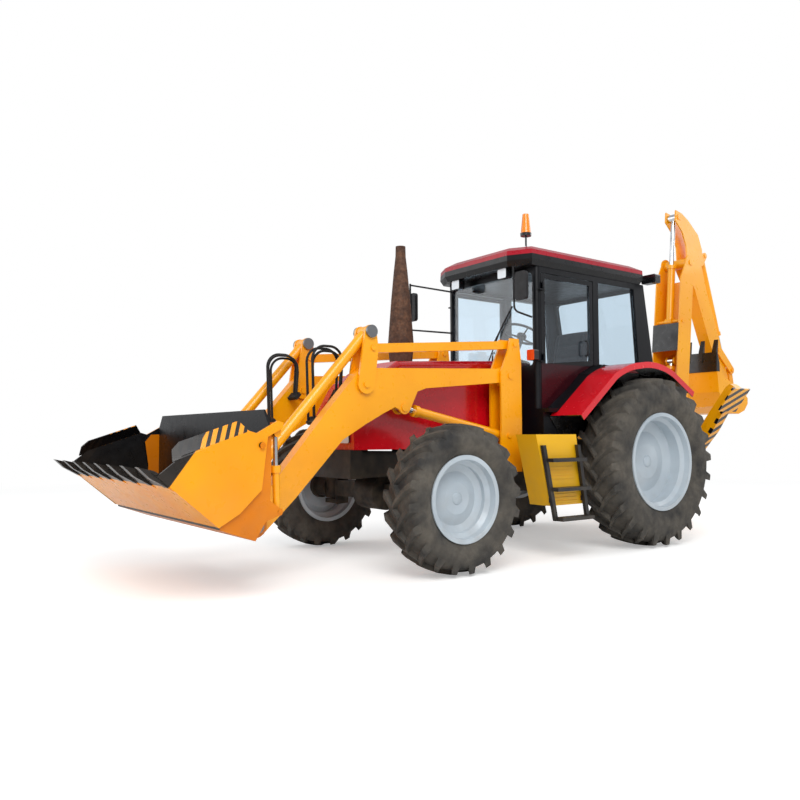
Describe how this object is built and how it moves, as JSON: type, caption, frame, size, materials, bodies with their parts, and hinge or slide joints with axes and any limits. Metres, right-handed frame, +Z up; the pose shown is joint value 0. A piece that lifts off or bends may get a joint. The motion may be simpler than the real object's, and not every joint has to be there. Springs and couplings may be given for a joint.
{
  "type": "backhoe loader",
  "caption": "Tractor-based backhoe loader: self-levelling front loader with clam bucket, cab, and a folded rear digging arm with stabiliser legs.",
  "frame": {"origin": "centre of the footprint on the ground", "axes": "+X towards the front bucket, +Y to the machine's left, +Z up"},
  "size_m": [7.9909, 2.5048, 3.7643],
  "materials": {
    "black": "satin",
    "chrome": "polished",
    "glass": "tinted",
    "grey_iron": "painted, dusty",
    "lens": "clear",
    "plastic": "matte",
    "red": "gloss",
    "rim": "worn gloss",
    "rubber": "matte",
    "rust": "rusty",
    "seat": "woven",
    "steel": "worn",
    "tyre": "worn",
    "yellow": "gloss"
  },
  "bodies": {
    "chassis": {"half_frame": "black", "drivetrain": "grey_iron", "front_axle": "grey_iron", "hood": "red", "grille": "black", "cab_frame": "black", "cab_roof": "red", "cab_glass": "glass", "cab_interior": "seat", "fenders": "red", "side_steps": "black", "exhaust": "rust", "mirrors": "plastic", "lamps": "lens", "loader_towers": "yellow", "backhoe_frame": "yellow"},
    "knuckle_left": {"knuckle_left": "grey_iron"},
    "wheel_front_left": {"front_tyre_left": "tyre", "front_rim_left": "rim"},
    "wheel_rear_left": {"rear_tyre_left": "tyre", "rear_rim_left": "rim"},
    "door_left": {"door_left": "black"},
    "knuckle_right": {"knuckle_right": "grey_iron"},
    "wheel_front_right": {"front_tyre_right": "tyre", "front_rim_right": "rim"},
    "wheel_rear_right": {"rear_tyre_right": "tyre", "rear_rim_right": "rim"},
    "door_right": {"door_right": "black"},
    "arms": {"loader_arms": "yellow", "arm_hoses": "rubber"},
    "level_rods": {"levelling_rods": "yellow"},
    "rockers": {"rockers": "yellow"},
    "rocker_pins": {"rocker_pins": "steel"},
    "bucket_pins": {"bucket_pins": "steel"},
    "bucket_back": {"bucket_back": "black"},
    "bucket_jaw": {"bucket_jaw": "yellow"},
    "tilt_barrels": {"tilt_barrels": "yellow"},
    "tilt_rods": {"tilt_rods": "chrome"},
    "lift_barrels": {"lift_barrels": "yellow"},
    "lift_rods": {"lift_rods": "chrome"},
    "jaw_barrels": {"jaw_barrels": "yellow"},
    "jaw_rods": {"jaw_rods": "chrome"},
    "swing_post": {"swing_post": "yellow"},
    "boom": {"boom": "yellow"},
    "stick": {"stick": "yellow"},
    "hoe_rocker": {"hoe_rocker": "yellow"},
    "hoe_link": {"hoe_link": "yellow"},
    "hoe_bucket": {"hoe_bucket": "yellow"},
    "boom_barrel": {"boom_barrel": "yellow"},
    "boom_rod": {"boom_rod": "chrome"},
    "stick_barrel": {"stick_barrel": "yellow"},
    "stick_rod": {"stick_rod": "chrome"},
    "hoe_barrel": {"hoe_barrel": "yellow"},
    "hoe_rod": {"hoe_rod": "chrome"},
    "leg_left": {"leg_left": "yellow"},
    "leg_barrel_left": {"leg_barrel_left": "yellow"},
    "leg_rod_left": {"leg_rod_left": "chrome"},
    "leg_right": {"leg_right": "yellow"},
    "leg_barrel_right": {"leg_barrel_right": "yellow"},
    "leg_rod_right": {"leg_rod_right": "chrome"}
  },
  "joints": [
    {"name": "steer_left", "type": "hinge", "parent": "chassis", "child": "knuckle_left", "pos_m": [1.58, 0.74, 0.568], "axis": [0, 0, 1], "range_deg": [-28, 28]},
    {"name": "roll_front_left", "type": "hinge", "parent": "knuckle_left", "child": "wheel_front_left", "pos_m": [1.58, 0.983, 0.568], "axis": [0, 1, 0], "continuous": true},
    {"name": "roll_rear_left", "type": "hinge", "parent": "chassis", "child": "wheel_rear_left", "pos_m": [-0.87, 0.938, 0.793], "axis": [0, 1, 0], "continuous": true},
    {"name": "door_left_hinge", "type": "hinge", "parent": "chassis", "child": "door_left", "pos_m": [0.191, 0.634, 1.9], "axis": [0, 0, -1], "range_deg": [0, 70]},
    {"name": "steer_right", "type": "hinge", "parent": "chassis", "child": "knuckle_right", "pos_m": [1.58, -0.74, 0.568], "axis": [0, 0, 1], "range_deg": [-28, 28]},
    {"name": "roll_front_right", "type": "hinge", "parent": "knuckle_right", "child": "wheel_front_right", "pos_m": [1.58, -0.983, 0.568], "axis": [0, 1, 0], "continuous": true},
    {"name": "roll_rear_right", "type": "hinge", "parent": "chassis", "child": "wheel_rear_right", "pos_m": [-0.87, -0.938, 0.793], "axis": [0, 1, 0], "continuous": true},
    {"name": "door_right_hinge", "type": "hinge", "parent": "chassis", "child": "door_right", "pos_m": [0.191, -0.634, 1.9], "axis": [0, 0, 1], "range_deg": [0, 70]},
    {"name": "lift", "type": "hinge", "parent": "chassis", "child": "arms", "pos_m": [0.56, 0, 1.57], "axis": [0, -1, 0], "range_deg": [-5, 65]},
    {"name": "level", "type": "hinge", "parent": "chassis", "child": "level_rods", "pos_m": [0.5, 0, 1.855], "axis": [0, -1, 0], "range_deg": [-5, 65]},
    {"name": "rock", "type": "hinge", "parent": "arms", "child": "rockers", "pos_m": [2.095, 0, 1.44], "axis": [0, -1, 0], "range_deg": [-65, 5]},
    {"name": "rocker_pin_turn", "type": "hinge", "parent": "rockers", "child": "rocker_pins", "pos_m": [2.055, 0, 1.85], "axis": [0, -1, 0], "range_deg": [-5, 65]},
    {"name": "self_level", "type": "hinge", "parent": "arms", "child": "bucket_pins", "pos_m": [3.01, 0, 0.42], "axis": [0, -1, 0], "range_deg": [-65, 5]},
    {"name": "tilt", "type": "hinge", "parent": "bucket_pins", "child": "bucket_back", "pos_m": [3.01, 0, 0.42], "axis": [0, 1, 0], "range_deg": [0, 85]},
    {"name": "jaw", "type": "hinge", "parent": "bucket_back", "child": "bucket_jaw", "pos_m": [3.215, 0, 0.985], "axis": [0, -1, 0], "range_deg": [0, 60]},
    {"name": "tilt_barrel_swing", "type": "hinge", "parent": "rocker_pins", "child": "tilt_barrels", "pos_m": [2.055, 0, 1.85], "axis": [0, -1, 0], "range_deg": [0, 3.23]},
    {"name": "tilt_rod_stroke", "type": "slide", "parent": "tilt_barrels", "child": "tilt_rods", "axis": [0.6678, 0, -0.7444], "range_m": [0, 0.54919]},
    {"name": "lift_barrel_swing", "type": "hinge", "parent": "chassis", "child": "lift_barrels", "pos_m": [0.58, 0, 1.04], "axis": [0, -1, 0], "range_deg": [-3.97, 51.46]},
    {"name": "lift_rod_stroke", "type": "slide", "parent": "lift_barrels", "child": "lift_rods", "axis": [0.9799, 0, 0.1995], "range_m": [-0.03623, 0.46985]},
    {"name": "jaw_barrel_swing", "type": "hinge", "parent": "bucket_back", "child": "jaw_barrels", "pos_m": [3.075, 0, 0.56], "axis": [0, -1, 0], "range_deg": [-0.32, 0]},
    {"name": "jaw_rod_stroke", "type": "slide", "parent": "jaw_barrels", "child": "jaw_rods", "axis": [0.03, 0, 0.9996], "range_m": [-0.14586, 0]},
    {"name": "swing", "type": "hinge", "parent": "chassis", "child": "swing_post", "pos_m": [-2.4, 0, 0.76], "axis": [0, 0, 1], "range_deg": [-75, 75]},
    {"name": "boom", "type": "hinge", "parent": "swing_post", "child": "boom", "pos_m": [-2.57, 0, 0.75], "axis": [0, -1, 0], "range_deg": [0, 105]},
    {"name": "stick", "type": "hinge", "parent": "boom", "child": "stick", "pos_m": [-2.89, 0, 3.12], "axis": [0, 1, 0], "range_deg": [0, 85]},
    {"name": "hoe", "type": "hinge", "parent": "stick", "child": "hoe_bucket", "pos_m": [-3.8, 0, 1.62], "axis": [0, 1, 0], "range_deg": [0, 110]},
    {"name": "hoe_rocker_turn", "type": "hinge", "parent": "stick", "child": "hoe_rocker", "pos_m": [-3.585, 0, 2.115], "axis": [0, 1, 0], "range_deg": [0, 68.02]},
    {"name": "hoe_link_turn", "type": "hinge", "parent": "hoe_rocker", "child": "hoe_link", "pos_m": [-3.87, 0, 1.87], "axis": [0, 1, 0], "range_deg": [-80.09, 0]},
    {"name": "boom_barrel_swing", "type": "hinge", "parent": "swing_post", "child": "boom_barrel", "pos_m": [-2.47, 0, 1.11], "axis": [0, -1, 0], "range_deg": [0, 107.06]},
    {"name": "boom_rod_stroke", "type": "slide", "parent": "boom_barrel", "child": "boom_rod", "axis": [-0.2916, 0, 0.9565], "range_m": [0, 0.5916]},
    {"name": "stick_barrel_swing", "type": "hinge", "parent": "boom", "child": "stick_barrel", "pos_m": [-2.695, 0, 2.4], "axis": [0, -1, 0], "range_deg": [-33.98, 0]},
    {"name": "stick_rod_stroke", "type": "slide", "parent": "stick_barrel", "child": "stick_rod", "axis": [-0.0964, 0, 0.9953], "range_m": [-0.50021, 0]},
    {"name": "hoe_barrel_swing", "type": "hinge", "parent": "stick", "child": "hoe_barrel", "pos_m": [-3.38, 0, 3.29], "axis": [0, -1, 0], "range_deg": [-9.23, 0]},
    {"name": "hoe_rod_stroke", "type": "slide", "parent": "hoe_barrel", "child": "hoe_rod", "axis": [-0.3262, 0, -0.9453], "range_m": [-0.36413, 0]},
    {"name": "leg_left", "type": "hinge", "parent": "chassis", "child": "leg_left", "pos_m": [-2.05, 0.64, 0.8], "axis": [-1, 0, 0], "range_deg": [0, 100]},
    {"name": "leg_barrel_swing_left", "type": "hinge", "parent": "chassis", "child": "leg_barrel_left", "pos_m": [-2.05, 0.18, 1.15], "axis": [-1, 0, 0], "range_deg": [0, 14.03]},
    {"name": "leg_rod_stroke_left", "type": "slide", "parent": "leg_barrel_left", "child": "leg_rod_left", "axis": [0, 0.9602, -0.2794], "range_m": [0, 0.29364]},
    {"name": "leg_right", "type": "hinge", "parent": "chassis", "child": "leg_right", "pos_m": [-2.05, -0.64, 0.8], "axis": [1, 0, 0], "range_deg": [0, 100]},
    {"name": "leg_barrel_swing_right", "type": "hinge", "parent": "chassis", "child": "leg_barrel_right", "pos_m": [-2.05, -0.18, 1.15], "axis": [1, 0, 0], "range_deg": [0, 14.03]},
    {"name": "leg_rod_stroke_right", "type": "slide", "parent": "leg_barrel_right", "child": "leg_rod_right", "axis": [0, -0.9602, -0.2794], "range_m": [0, 0.29364]}
  ],
  "couplings": [
    {"joint": "steer_right", "follows": "steer_left", "ratio": 1},
    {"joint": "level", "follows": "lift", "ratio": 1},
    {"joint": "rock", "follows": "lift", "ratio": -1},
    {"joint": "rocker_pin_turn", "follows": "lift", "ratio": 1},
    {"joint": "self_level", "follows": "lift", "ratio": -1},
    {"joint": "tilt_barrel_swing", "follows": "tilt", "ratio": 0.037916},
    {"joint": "tilt_rod_stroke", "follows": "tilt", "m_per_rad": 0.37012},
    {"joint": "lift_barrel_swing", "follows": "lift", "ratio": 0.79156},
    {"joint": "lift_rod_stroke", "follows": "lift", "m_per_rad": 0.41408},
    {"joint": "jaw_barrel_swing", "follows": "jaw", "ratio": -0.005172},
    {"joint": "jaw_rod_stroke", "follows": "jaw", "m_per_rad": -0.13919},
    {"joint": "hoe_rocker_turn", "follows": "hoe", "ratio": 0.61828},
    {"joint": "hoe_link_turn", "follows": "hoe", "ratio": -0.72798},
    {"joint": "boom_barrel_swing", "follows": "boom", "ratio": 1.0195},
    {"joint": "boom_rod_stroke", "follows": "boom", "m_per_rad": 0.32277},
    {"joint": "stick_barrel_swing", "follows": "stick", "ratio": -0.39958},
    {"joint": "stick_rod_stroke", "follows": "stick", "m_per_rad": -0.33711},
    {"joint": "hoe_barrel_swing", "follows": "hoe", "ratio": -0.083844},
    {"joint": "hoe_rod_stroke", "follows": "hoe", "m_per_rad": -0.18961},
    {"joint": "leg_barrel_swing_left", "follows": "leg_left", "ratio": 0.14024},
    {"joint": "leg_rod_stroke_left", "follows": "leg_left", "m_per_rad": 0.16819},
    {"joint": "leg_barrel_swing_right", "follows": "leg_right", "ratio": 0.14024},
    {"joint": "leg_rod_stroke_right", "follows": "leg_right", "m_per_rad": 0.16819}
  ]
}
